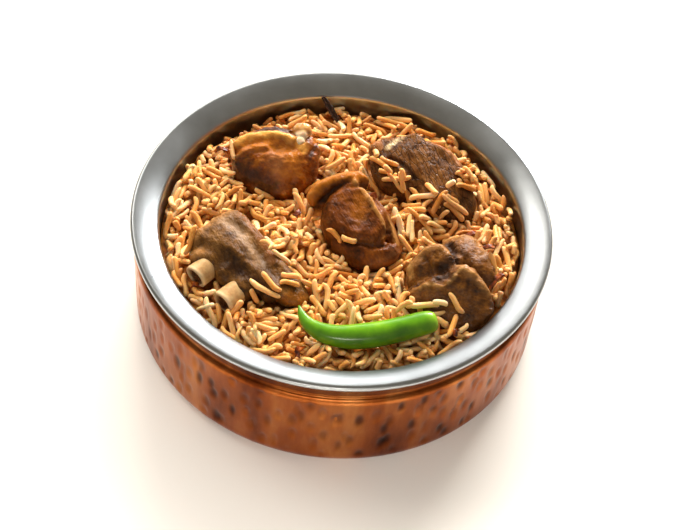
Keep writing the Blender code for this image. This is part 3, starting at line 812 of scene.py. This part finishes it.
def cinnamonBark():
    # cassia bark, dried and cooked: nearly black brown with a paler split edge
    material, shader = newMaterial("cookedCassiaBark")
    place = addNode(material, "TexCoord")
    streak = addNode(
        material, "Mapping", {"Vector": place, "Rotation": (0.5, 0.4, 0.6), "Scale": (1, 1, 0.2)})
    grainNoise = addNode(material, "TexNoise", {"Vector": streak, "Scale": 900.0, "Detail": 4.0})
    tone = addNode(
        material, "ValToRGB", {0: grainNoise}, stops=[(0.35, "#140804"), (0.6, "#33190C"), (0.8, "#8A6440")])
    bump = addNode(material, "Bump", {"Strength": 0.7, "Distance": 0.0005, "Height": grainNoise})
    setInputs(material, shader, {"Roughness": 0.55, "Base Color": tone, "Normal": bump})
    return material


mesh = shardMesh()
addPiece("cinnamonShard", mesh, cinnamonBark(), ["cinnamon_shard"])
solidMeshes.append(mesh)
print("chilli and cinnamon made")


# rice: a rough core and separate cooked grains that rest on it and on each other

rice = {
    "level": 46.2, "edge": 77.4,
    # rises and hollows of the heap: x, y, rise, width
    "mounds": [
        (-4, 36, 6.0, 9), (-50, 8, 4.2, 13), (-22, -12, 4.4, 14), (5, -37, 3.4, 16), (32, 6, 5.5, 10),
        (66, 2, 2.4, 12), (-30, -62, 1.6, 14), (58, -48, 1.6, 12), (-64, 20, 2.2, 12), (44, 60, 1.6, 12),
        (0, 72, -1.4, 18), (-46, 54, -3.0, 18), (-50, -48, 2.6, 9), (-34, -54, 2.0, 10), (-60, -32, 1.6, 8),
        (19, 25, 3.0, 9), (34, 14, 3.0, 8), (-5, -72, 2.2, 18), (40, -66, 1.8, 14),
    ],
    # where rice lies over the mutton: x, y, reach, thickness
    "drifts": [
        (19, 21, 8, 2.6), (27, 15.5, 8, 3.2), (36, 12, 8, 3.2), (45, 14.5, 5, 1.8), (51.5, 28.5, 5, 2.2),
        (-18, 3, 5, 2.0), (-22, 9, 5, 2.2), (38, -44.5, 5, 2.2), (30, -41, 6, 2.4), (-28, -46, 5, 1.8),
        (-54, 30, 4, 1.5), (-64, -24, 5, 2.0), (-23, -23, 4, 1.6), (66, -14, 4, 1.6),
    ],
    # darker patches near the wall, painted shade of the wall with spiced stock soaked in: x, y, reach, amount
    "wallShadeAndSoaks": [
        (56, 12, 18, 0.8), (62, -24, 14, 0.6), (-48, 48, 20, 1.0), (-66, -4, 12, 0.4), (5, 66, 20, 0.45),
    ],
    "coreDrop": 4.6, "coreRings": 60, "clump": 7.0, "clumpRise": 1.5,
    "length": (12.2, 2.0), "shortest": 7.0, "longest": 17.0, "brokenShare": 0.13, "broken": (4.0, 7.5),
    "radius": (1.18, 0.09), "bend": 0.075, "steepShare": 0.15, "tries": 14000, "overfill": 1.5,
    "overhang": 0.36,
    # how grains come to rest on each other
    "settle": 0.82, "steepest": 1.1, "give": 0.12, "steepTurn": (28, 75), "thinnest": 0.92, "thickest": 1.4,
    "spots": 14, "wallGap": 1.2, "leastRoom": -0.6, "steepRoom": 1.5, "restingRadius": 1.2,
}
# single grains that lie on the mutton: x, y, turn in degrees, length
restingGrains = [
    (50, -40, -40, 10.5), (38, -41.5, -35, 9.5), (39.5, -42.5, -45, 8.5), (43.5, -41, 0, 6.5),
    (44, -43, -105, 4), (49.5, -49, -105, 11.5), (45, -47, -10, 6), (12.5, 34, -40, 10), (17, 33.5, -30, 9.5),
    (11, 38, -70, 4.5), (16, 29, -15, 6.5), (16.5, 26.5, -20, 4.5), (16, 24.5, -95, 5), (23.5, 25, -70, 6),
    (36.5, 20, -55, 9.5), (50.5, 26.5, -10, 8), (52.5, 31, -50, 8), (44.5, 21.5, 0, 5), (-2.5, -10, -30, 8.5),
    (3.5, -12.5, -10, 7), (-26, -41, -35, 11.5), (-37, -48, -115, 8.5), (-32, -45.5, -40, 7),
    (-18.5, -43, -70, 7), (-29, -23.5, -55, 8), (-25, -29, -40, 8), (-18.5, -38.5, 10, 8.5),
    (-18.5, -35, -5, 8), (29, -44.5, 10, 8.5),
]
gridStep = 0.5
gridHalf = 79.0
nothing, openAir = -100.0, 999.0  # heights where there is nothing to land on, or nothing overhead
gridSize = int(2 * gridHalf / gridStep) + 1
gridLine = np.linspace(-gridHalf, gridHalf, gridSize)


def riceLevel(x, y):
    z = rice["level"] + 0 * x
    for moundX, moundY, rise, width in rice["mounds"]:
        z = z + rise / (1 + ((x - moundX) ** 2 + (y - moundY) ** 2) / width ** 2) ** 2
    return z


def coreMesh():
    profile = [(rice["edge"] * i / rice["coreRings"], 40) for i in range(rice["coreRings"] + 1)]
    profile += [(rice["edge"], 20)] + arcPoints((rice["edge"] - 5.6, 8.0), 5.6, 0, -90, 4) + [(0, 2.4)]
    bm = spinProfile(profile, 200)
    mesh = meshFrom(bm, "riceCore")
    points, _ = getPoints(mesh)
    top = points[:, 2] > 39.9 * mm
    x, y = points[:, 0] / mm, points[:, 1] / mm
    relief = 0.9 * fractalNoise(points, 4.0, 61, 3)
    points[top, 2] = ((riceLevel(x, y) - rice["coreDrop"] + relief) * mm)[top]
    setPoints(mesh, points)
    return mesh


def heightGrid(meshes, fromBelow=False):
    # what a grain can land on, looking straight down, or the underside of what hangs over it
    grid = np.full((gridSize, gridSize), nothing)
    start, way = (-0.1, 1) if fromBelow else (0.2, -1)
    for mesh in meshes:
        bm = bmesh.new()
        bm.from_mesh(mesh)
        tree = BVHTree.FromBMesh(bm)
        lows = np.array([v.co[:2] for v in bm.verts]).min(0) / mm
        highs = np.array([v.co[:2] for v in bm.verts]).max(0) / mm
        bm.free()
        columns = np.where((gridLine >= lows[0]) & (gridLine <= highs[0]))[0]
        rows = np.where((gridLine >= lows[1]) & (gridLine <= highs[1]))[0]
        for i in columns:
            for j in rows:
                above = Vector((gridLine[i] * mm, gridLine[j] * mm, start))
                spot = tree.ray_cast(above, Vector((0, 0, way)))[0]
                if spot is not None:
                    grid[i, j] = max(grid[i, j], spot.z / mm)
    return grid


gridX, gridY = np.meshgrid(gridLine, gridLine, indexing="ij")
riceTop = riceLevel(gridX, gridY)
coreTop = riceTop - rice["coreDrop"]
gridPoints = np.stack([gridX.ravel(), gridY.ravel(), 0 * gridX.ravel()], 1) * mm
clumps = fractalNoise(gridPoints, rice["clump"], 71, 2)
riceTop = riceTop + rice["clumpRise"] * clumps.reshape(gridX.shape)
chilliTop, chilliUnder = heightGrid([chilliSurface]), heightGrid([chilliSurface], fromBelow=True)
toppingTop = heightGrid(solidMeshes)
landing = np.maximum(coreTop, toppingTop)
covered = toppingTop > riceTop - 0.3
for driftX, driftY, reach, thickness in rice["drifts"]:
    near = 1 - ((gridX - driftX) ** 2 + (gridY - driftY) ** 2) / reach ** 2
    lain = (near > 0) & (toppingTop > riceTop - 4)
    riceTop = np.where(lain, np.maximum(riceTop, toppingTop + thickness * near), riceTop)
    covered &= ~lain
ceiling = np.where(chilliUnder > nothing, chilliUnder, openAir)
samples = np.linspace(-1, 1, 11)  # along a grain; it rests on one sample of each half
pairI, pairJ = (side.ravel() for side in np.meshgrid(np.arange(5), np.arange(6, 11), indexing="ij"))


def gridIndex(values):
    return np.clip(np.rint((values + gridHalf) / gridStep).astype(int), 0, gridSize - 1)


def atSpot(grid, x, y):
    return grid[gridIndex(x), gridIndex(y)]


def restingLine(heights, half):
    # the lowest straight line that clears every height and is held on both sides of its middle
    s = samples * half
    slope = (heights[pairJ] - heights[pairI]) / (s[pairJ] - s[pairI])
    level = heights[pairI] - slope * s[pairI]
    clear = ((level[:, None] + slope[:, None] * s[None, :]) >= heights[None, :] - rice["give"]).all(1)
    if not clear.any():
        return None
    best = np.where(clear)[0][np.argmin(level[clear])]
    return level[best], slope[best]


def stampGrain(xs, ys, zs, radius):
    reach = int(math.ceil(radius / gridStep))
    for x, y, z in zip(xs, ys, zs):
        columns, rows = (slice(max(k - reach, 0), k + reach + 1) for k in (gridIndex(x), gridIndex(y)))
        off = (gridLine[columns, None] - x) ** 2 + (gridLine[None, rows] - y) ** 2
        cap = np.where(off < radius ** 2, z + np.sqrt(np.maximum(radius ** 2 - off, 0)), nothing)
        landing[columns, rows] = np.maximum(landing[columns, rows], cap)


grains = []  # centre, direction, length, radius, side bend, up bend, depth under the top


def placeGrain(x, y, turn, length, radius, onTopping=False, steep=None):
    half = length / 2
    direction = np.array((math.cos(turn), math.sin(turn)))
    across = np.array((-direction[1], direction[0]))
    bend = rng.normal(0, rice["bend"] * (2.2 if rng.random() < 0.2 else 1)) * length
    if steep is None:
        s = samples * half
        curve = bend * (samples ** 2 - 0.33)
        xs = x + direction[0] * s + across[0] * curve
        ys = y + direction[1] * s + across[1] * curve
        if np.hypot(xs, ys).max() > rice["edge"] - radius:
            return False
        ix, iy = gridIndex(xs), gridIndex(ys)
        if not onTopping and covered[ix, iy].mean() > rice["overhang"]:
            return False
        found = restingLine(landing[ix, iy] + radius * rice["settle"], half)
        if found is None:
            return False
        level, slope = found
        if abs(slope) > rice["steepest"]:
            return False
        depth = atSpot(riceTop, x, y) - level
        if not onTopping and -depth + radius > rice["overfill"] + abs(slope) * 1.2:
            return False
        if not onTopping and (level + slope * s + radius > ceiling[ix, iy]).any():
            return False
        tilt = math.atan(slope)
        axis = np.array((direction[0] * math.cos(tilt), direction[1] * math.cos(tilt), math.sin(tilt)))
        zs = level + slope * s
        stampGrain(xs, ys, zs, radius)
        grains.append(((x, y, level), axis, length, radius, bend, rng.normal(0, 0.03) * length, depth))
        return True
    foot = atSpot(landing, x, y)
    axis = np.array((direction[0] * math.cos(steep), direction[1] * math.cos(steep), math.sin(steep)))
    centre = np.array((x, y, foot - 0.6)) + axis * half
    ends = centre + axis * half
    if np.hypot(ends[0], ends[1]) > rice["edge"] - radius or np.hypot(x, y) > rice["edge"] - radius:
        return False
    if ends[2] > atSpot(riceTop, ends[0], ends[1]) + 2.2:
        return False
    s = samples * half
    xs, ys, zs = centre[0] + axis[0] * s, centre[1] + axis[1] * s, centre[2] + axis[2] * s
    if atSpot(covered, xs, ys).any() or (zs + radius > atSpot(ceiling, xs, ys)).any():
        return False
    stampGrain(xs, ys, zs, radius)
    grains.append((tuple(centre), axis, length, radius, bend, 0.0, 0.0))
    return True


def pourRice(tries):
    for _ in range(tries):
        spots = rng.uniform(-rice["edge"], rice["edge"], (rice["spots"], 2))
        inside = np.hypot(spots[:, 0], spots[:, 1]) < rice["edge"] - rice["wallGap"]
        ix, iy = gridIndex(spots[:, 0]), gridIndex(spots[:, 1])
        # the emptiest of a few random spots takes the next grain
        room = np.where(inside & ~covered[ix, iy], riceTop[ix, iy] - landing[ix, iy], -50)
        pick = int(np.argmax(room))
        if room[pick] < rice["leastRoom"]:
            continue
        x, y = spots[pick]
        if rng.random() < rice["brokenShare"]:
            length = rng.uniform(*rice["broken"])
        else:
            length = float(np.clip(rng.normal(*rice["length"]), rice["shortest"], rice["longest"]))
        radius = float(np.clip(rng.normal(*rice["radius"]), rice["thinnest"], rice["thickest"]))
        steep = None
        if room[pick] > rice["steepRoom"] and rng.random() < rice["steepShare"]:
            steep = math.radians(rng.uniform(*rice["steepTurn"]))
        placeGrain(x, y, rng.uniform(0, math.tau), length, radius, steep=steep)


def layRestingGrains():
    for x, y, turn, length in restingGrains:
        placeGrain(x, y, math.radians(turn), length, rice["restingRadius"], onTopping=True)


def grainTemplate():
    bm = bmesh.new()
    bmesh.ops.create_uvsphere(bm, u_segments=8, v_segments=9, radius=1)
    mesh = meshFrom(bm, "grainTemplate")
    points, _ = getPoints(mesh)
    faces = [tuple(p.vertices) for p in mesh.polygons]
    bpy.data.meshes.remove(mesh)
    return points, faces


def grainsMesh(name, members):
    # every grain is the same few faces, drawn out, bent and thinned in its own way
    points, faces = grainTemplate()
    along = np.sign(points[:, 2]) * np.abs(points[:, 2]) ** 0.5
    around = np.arctan2(points[:, 1], points[:, 0])
    count = len(members)
    centre, axis, length, radius, bend, rise, depth = (np.array(column) for column in zip(*members))
    half = length / 2
    level = np.array([0.0, 0.0, 1.0])
    side = np.cross(level, axis)
    side /= np.linalg.norm(side, axis=1)[:, None]
    up = np.cross(axis, side)
    bluntness = rng.uniform(5.0, 12.0, (count, 1))
    taper = rng.normal(0, 0.07, (count, 1))
    flat = rng.uniform(0.82, 1.0, (count, 1))
    roll = rng.uniform(0, math.pi, (count, 1))
    wobble = rng.normal(0, 0.04, (count, len(points)))
    t = np.broadcast_to(along, (count, len(points)))
    profile = np.sqrt(np.maximum(1 - np.abs(t) ** bluntness, 0))
    profile[np.abs(t) > 0.999] = 0
    uneven = 1 + 0.05 * np.sin(t * 4 + roll * 5)
    size = radius[:, None] * profile * (1 + taper * t) * (1 + wobble) * uneven
    a = around[None, :] + roll
    sideways = size * np.cos(a) + bend[:, None] * (t ** 2 - 0.33)
    upwards = size * np.sin(a) * flat + rise[:, None] * (t ** 2 - 0.33)
    twist = rng.normal(0, 0.06, (count, 1)) * half[:, None]
    sideways = sideways + twist * np.sin(t * 3.0)
    verts = centre[:, None, :] + axis[:, None, :] * (t * half[:, None])[:, :, None]
    verts = verts + side[:, None, :] * sideways[:, :, None] + up[:, None, :] * upwards[:, :, None]
    mesh = bpy.data.meshes.new(name)
    base = np.arange(count) * len(points)
    flatFaces = [tuple(int(v + b) for v in face) for b in base for face in faces]
    mesh.from_pydata((verts.reshape(-1, 3) * mm).tolist(), [], flatFaces)
    mesh.shade_smooth()
    setAttribute(mesh, "tint", np.repeat(rng.random(count), len(points)))
    setAttribute(mesh, "end", np.abs(t).ravel() ** 4)
    # grains in these patches get painted shade, added to their depth under the top
    for x, y, reach, amount in rice["wallShadeAndSoaks"]:
        away = ((centre[:, 0] - x) ** 2 + (centre[:, 1] - y) ** 2) / reach ** 2
        depth = depth + 4 * amount * np.exp(-away)
    setAttribute(mesh, "deep", np.repeat(np.clip(depth / 4, 0, 1), len(points)))
    return mesh


def cookedRice(name, tones):
    # long-grain rice steamed in spiced stock: translucent, oily, unevenly stained by saffron and oil
    material, shader = newMaterial(name)
    place = addNode(material, "TexCoord")
    tint = addNode(material, "Attribute", attribute_name="tint")
    end = addNode(material, "Attribute", attribute_name="end")
    deep = addNode(material, "Attribute", attribute_name="deep")
    tonePatches = addNode(material, "TexNoise", {"Vector": place, "Scale": 55.0, "Detail": 4.0, "Roughness": 0.6})
    spread = addNode(material, "Math", {0: tint, 1: 0.34, 2: -0.17}, operation="MULTIPLY_ADD")
    mixed = addNode(material, "Math", {0: tonePatches, 1: spread}, operation="ADD")
    tone = addNode(
        material, "ValToRGB", {0: mixed}, stops=[(0.22, tones[0]), (0.5, tones[1]), (0.8, tones[2])])
    paler = addNode(material, "Math", {0: end, 1: 0.35}, operation="MULTIPLY")
    tipped = addNode(material, "Mix", {0: paler, 6: tone, 7: linearColour("#F0D3A0")}, data_type="RGBA")
    # grains deep in the heap are darker, and those near the wall carry painted shade
    sunk = addNode(material, "Math", {0: deep, 1: 0.6}, operation="MULTIPLY")
    colour = addNode(material, "Mix", {0: sunk, 6: tipped, 7: linearColour("#B06420")}, data_type="RGBA")
    skin = addNode(material, "TexNoise", {"Vector": place, "Scale": 1100.0, "Detail": 2.0})
    bump = addNode(material, "Bump", {"Strength": 0.6, "Distance": 0.0004, "Height": skin})
    setInputs(material, shader, {
        "Roughness": 0.4, "IOR": 1.42, "Subsurface Weight": 0.6, "Subsurface Radius": (1.0, 0.55, 0.25),
        "Subsurface Scale": 0.0016, "Base Color": colour, "Normal": bump,
    })
    return material


def riceBed():
    # the packed rice under the top grains, mostly in shade
    material, shader = newMaterial("packedRiceBed")
    place = addNode(material, "TexCoord")
    cells = addNode(material, "TexNoise", {"Vector": place, "Scale": 330.0, "Detail": 4.0})
    tone = addNode(
        material, "ValToRGB", {0: cells}, stops=[(0.35, "#844612"), (0.55, "#B86E24"), (0.75, "#D6923E")])
    setInputs(material, shader, {"Roughness": 0.5, "Base Color": tone})
    return material


addPiece("riceCore", coreMesh(), riceBed(), ["rice"])
pourRice(rice["tries"])
landing = np.maximum(landing, chilliTop)
covered |= chilliTop > riceTop - 0.3
pourRice(rice["tries"] // 6)
layRestingGrains()
print("grains placed:", len(grains))
kinds = {
    "riceGrainsPale": (0.45, ("#E2A052", "#F3C384", "#FCE2B6")),
    "riceGrainsGolden": (0.37, ("#D48E3C", "#E8B068", "#F4CE92")),
    "riceGrainsSpiced": (0.18, ("#BC7228", "#D59648", "#E6B472")),
}
order = rng.permutation(len(grains))
first = 0
for name, (share, tones) in kinds.items():
    last = min(len(grains), first + int(round(share * len(grains))) + 1)
    members = [grains[i] for i in order[first:last]]
    addPiece(name, grainsMesh(name, members), cookedRice(name, tones))
    first = last


# scraps of onion fried dark, half sunk among the grains

friedOnion = {
    "places": [
        (-52.5, -43.4, 10.0), (-56.7, -40.3, 7.0), (56.7, 4.9, 9.0), (66.0, -23.5, 10.0), (64.5, -27.0, 7.0),
        (62.5, -10.5, 6.0), (-57.7, 38.0, 6.5), (-10.4, -69.1, 6.0), (50.8, -50.9, 5.5), (10.9, 20.7, 5.5),
        (-20.0, 6.7, 5.0), (-67.0, 4.0, 6.0),
    ],
    "width": 2.6, "thickness": 0.45, "seed": 81,
}


def onionMesh():
    bm = bmesh.new()
    for i, (x, y, length) in enumerate(friedOnion["places"]):
        before = set(bm.verts)
        bmesh.ops.create_grid(bm, x_segments=4, y_segments=12, size=0.5)
        scrap = [v for v in bm.verts if v not in before]
        curl = random.uniform(0.6, 1.6)
        for v in scrap:
            across, along = v.co.x, v.co.y
            width = friedOnion["width"] * (1.0 - 1.6 * along * along) * random.uniform(0.85, 1.1)
            rumple = 0.7 * noise.noise(Vector((across * 3, along * 5, friedOnion["seed"] + i)))
            sway = 0.8 * math.sin(along * 5 + i)
            v.co = Vector((across * width + sway, along * length, curl * math.cos(along * 4) + rumple)) * mm
        lie = Matrix.Rotation(random.uniform(0, math.pi), 4, "Z")
        lie = lie @ Matrix.Rotation(random.uniform(-0.5, 0.5), 4, "X")
        level = atSpot(landing, x, y)
        lie = Matrix.Translation(Vector((x, y, level - 0.2)) * mm) @ lie
        bmesh.ops.transform(bm, matrix=lie, verts=scrap)
    bmesh.ops.recalc_face_normals(bm, faces=bm.faces[:])
    bmesh.ops.solidify(bm, geom=bm.faces[:], thickness=friedOnion["thickness"] * mm)
    bmesh.ops.recalc_face_normals(bm, faces=bm.faces[:])
    return meshFrom(bm, "friedOnion")


def friedOnionSkin():
    # onion fried until brown: glossy, orange where thin and nearly black at the edges
    material, shader = newMaterial("friedOnion")
    place = addNode(material, "TexCoord")
    cloud = addNode(material, "TexNoise", {"Vector": place, "Scale": 420.0, "Detail": 4.0})
    tone = addNode(
        material, "ValToRGB", {0: cloud}, stops=[(0.35, "#2E0F03"), (0.52, "#7A3208"), (0.72, "#B8621A")])
    bump = addNode(material, "Bump", {"Strength": 0.6, "Distance": 0.0005, "Height": cloud})
    setInputs(material, shader, {"Roughness": 0.3, "Base Color": tone, "Normal": bump})
    return material


addPiece("friedOnion", onionMesh(), friedOnionSkin())


# floor, light and camera

def studioFloor():
    material, shader = newMaterial("paleFloor")
    place = addNode(material, "TexCoord")
    cloud = addNode(material, "TexNoise", {"Vector": place, "Scale": 3.0, "Detail": 3.0})
    tone = addNode(material, "ValToRGB", {0: cloud}, stops=[(0.3, "#E9E8E6"), (0.7, "#EFEEEC")])
    setInputs(material, shader, {"Roughness": 0.7, "Base Color": tone})
    bm = bmesh.new()
    bmesh.ops.create_grid(bm, x_segments=2, y_segments=2, size=6)
    mesh = meshFrom(bm, "floor")
    mesh.materials.append(material)
    floor = bpy.data.objects.new("floor", mesh)
    scene.collection.objects.link(floor)


def addSoftLight(name, place, aim, size, power, colour, spread, mirrored):
    # a light that isn't mirrored shapes the food without flooding the polished steel
    light = bpy.data.lights.new(name, "AREA")
    light.shape = "RECTANGLE"
    light.size, light.size_y = size
    light.energy = power
    light.color = linearColour(colour)[:3]
    light.spread = math.radians(spread)
    lamp = bpy.data.objects.new(name, light)
    lamp.location = place
    lamp.rotation_euler = (Vector(aim) - Vector(place)).to_track_quat("-Z", "Y").to_euler()
    lamp.visible_glossy = mirrored
    scene.collection.objects.link(lamp)


studioFloor()
world = bpy.data.worlds.new("paleRoom")
world.use_nodes = True
setInputs(world, world.node_tree.nodes["Background"], {"Color": linearColour("#EADCC8"), "Strength": 0.34})
scene.world = world
# each light: place, aim, size, power, colour, spread in degrees, mirrored or not
lights = {
    "windowLight": ((0.17, 1.56, 1.08), (0, 0, 0.03), (1.56, 0.71), 83.0, "#FFF6E6", 180, False),
    "windowGlow": ((-0.08, 1.2, 0.52), (0, 0, 0.05), (1.4, 0.5), 4.4, "#FFFFFF", 180, True),
    "windowGlint": ((0.36, 1.1, 0.46), (0, 0, 0.05), (0.5, 0.3), 11.0, "#FFFFFF", 180, True),
    "windowUpper": ((-0.55, 1.0, 0.98), (0, 0, 0.05), (0.6, 0.45), 5.0, "#FFFAF2", 180, True),
    "sideSoft": ((-0.65, 0.3, 0.9), (0, 0, 0.03), (0.5, 0.5), 6.0, "#FFF6EA", 180, False),
    "floorFill": ((0.0, -0.60, 0.30), (0, -0.40, 0), (0.6, 0.12), 2.0, "#FFF8EE", 70, True),
}
for name, facts in lights.items():
    addSoftLight(name, *facts)

cameraView = {
    "lens": 72.39, "sensor": 36.0, "place": (0.005251, -0.402830, 0.500112),
    "right": (0.9931176, 0.08939747, 0.07566715), "upward": (-0.11712141, 0.7580356, 0.64161095),
}
camera = bpy.data.objects.new("camera", bpy.data.cameras.new("camera"))
camera.data.lens = cameraView["lens"]
camera.data.sensor_width = cameraView["sensor"]
camera.data.clip_start = 0.01
right, upward = Vector(cameraView["right"]), Vector(cameraView["upward"])
turn = Matrix((right, upward, right.cross(upward))).transposed().to_4x4()
camera.matrix_world = Matrix.Translation(cameraView["place"]) @ turn
scene.collection.objects.link(camera)
scene.camera = camera
scene.view_settings.view_transform = "Standard"
print("floor, light and camera made")
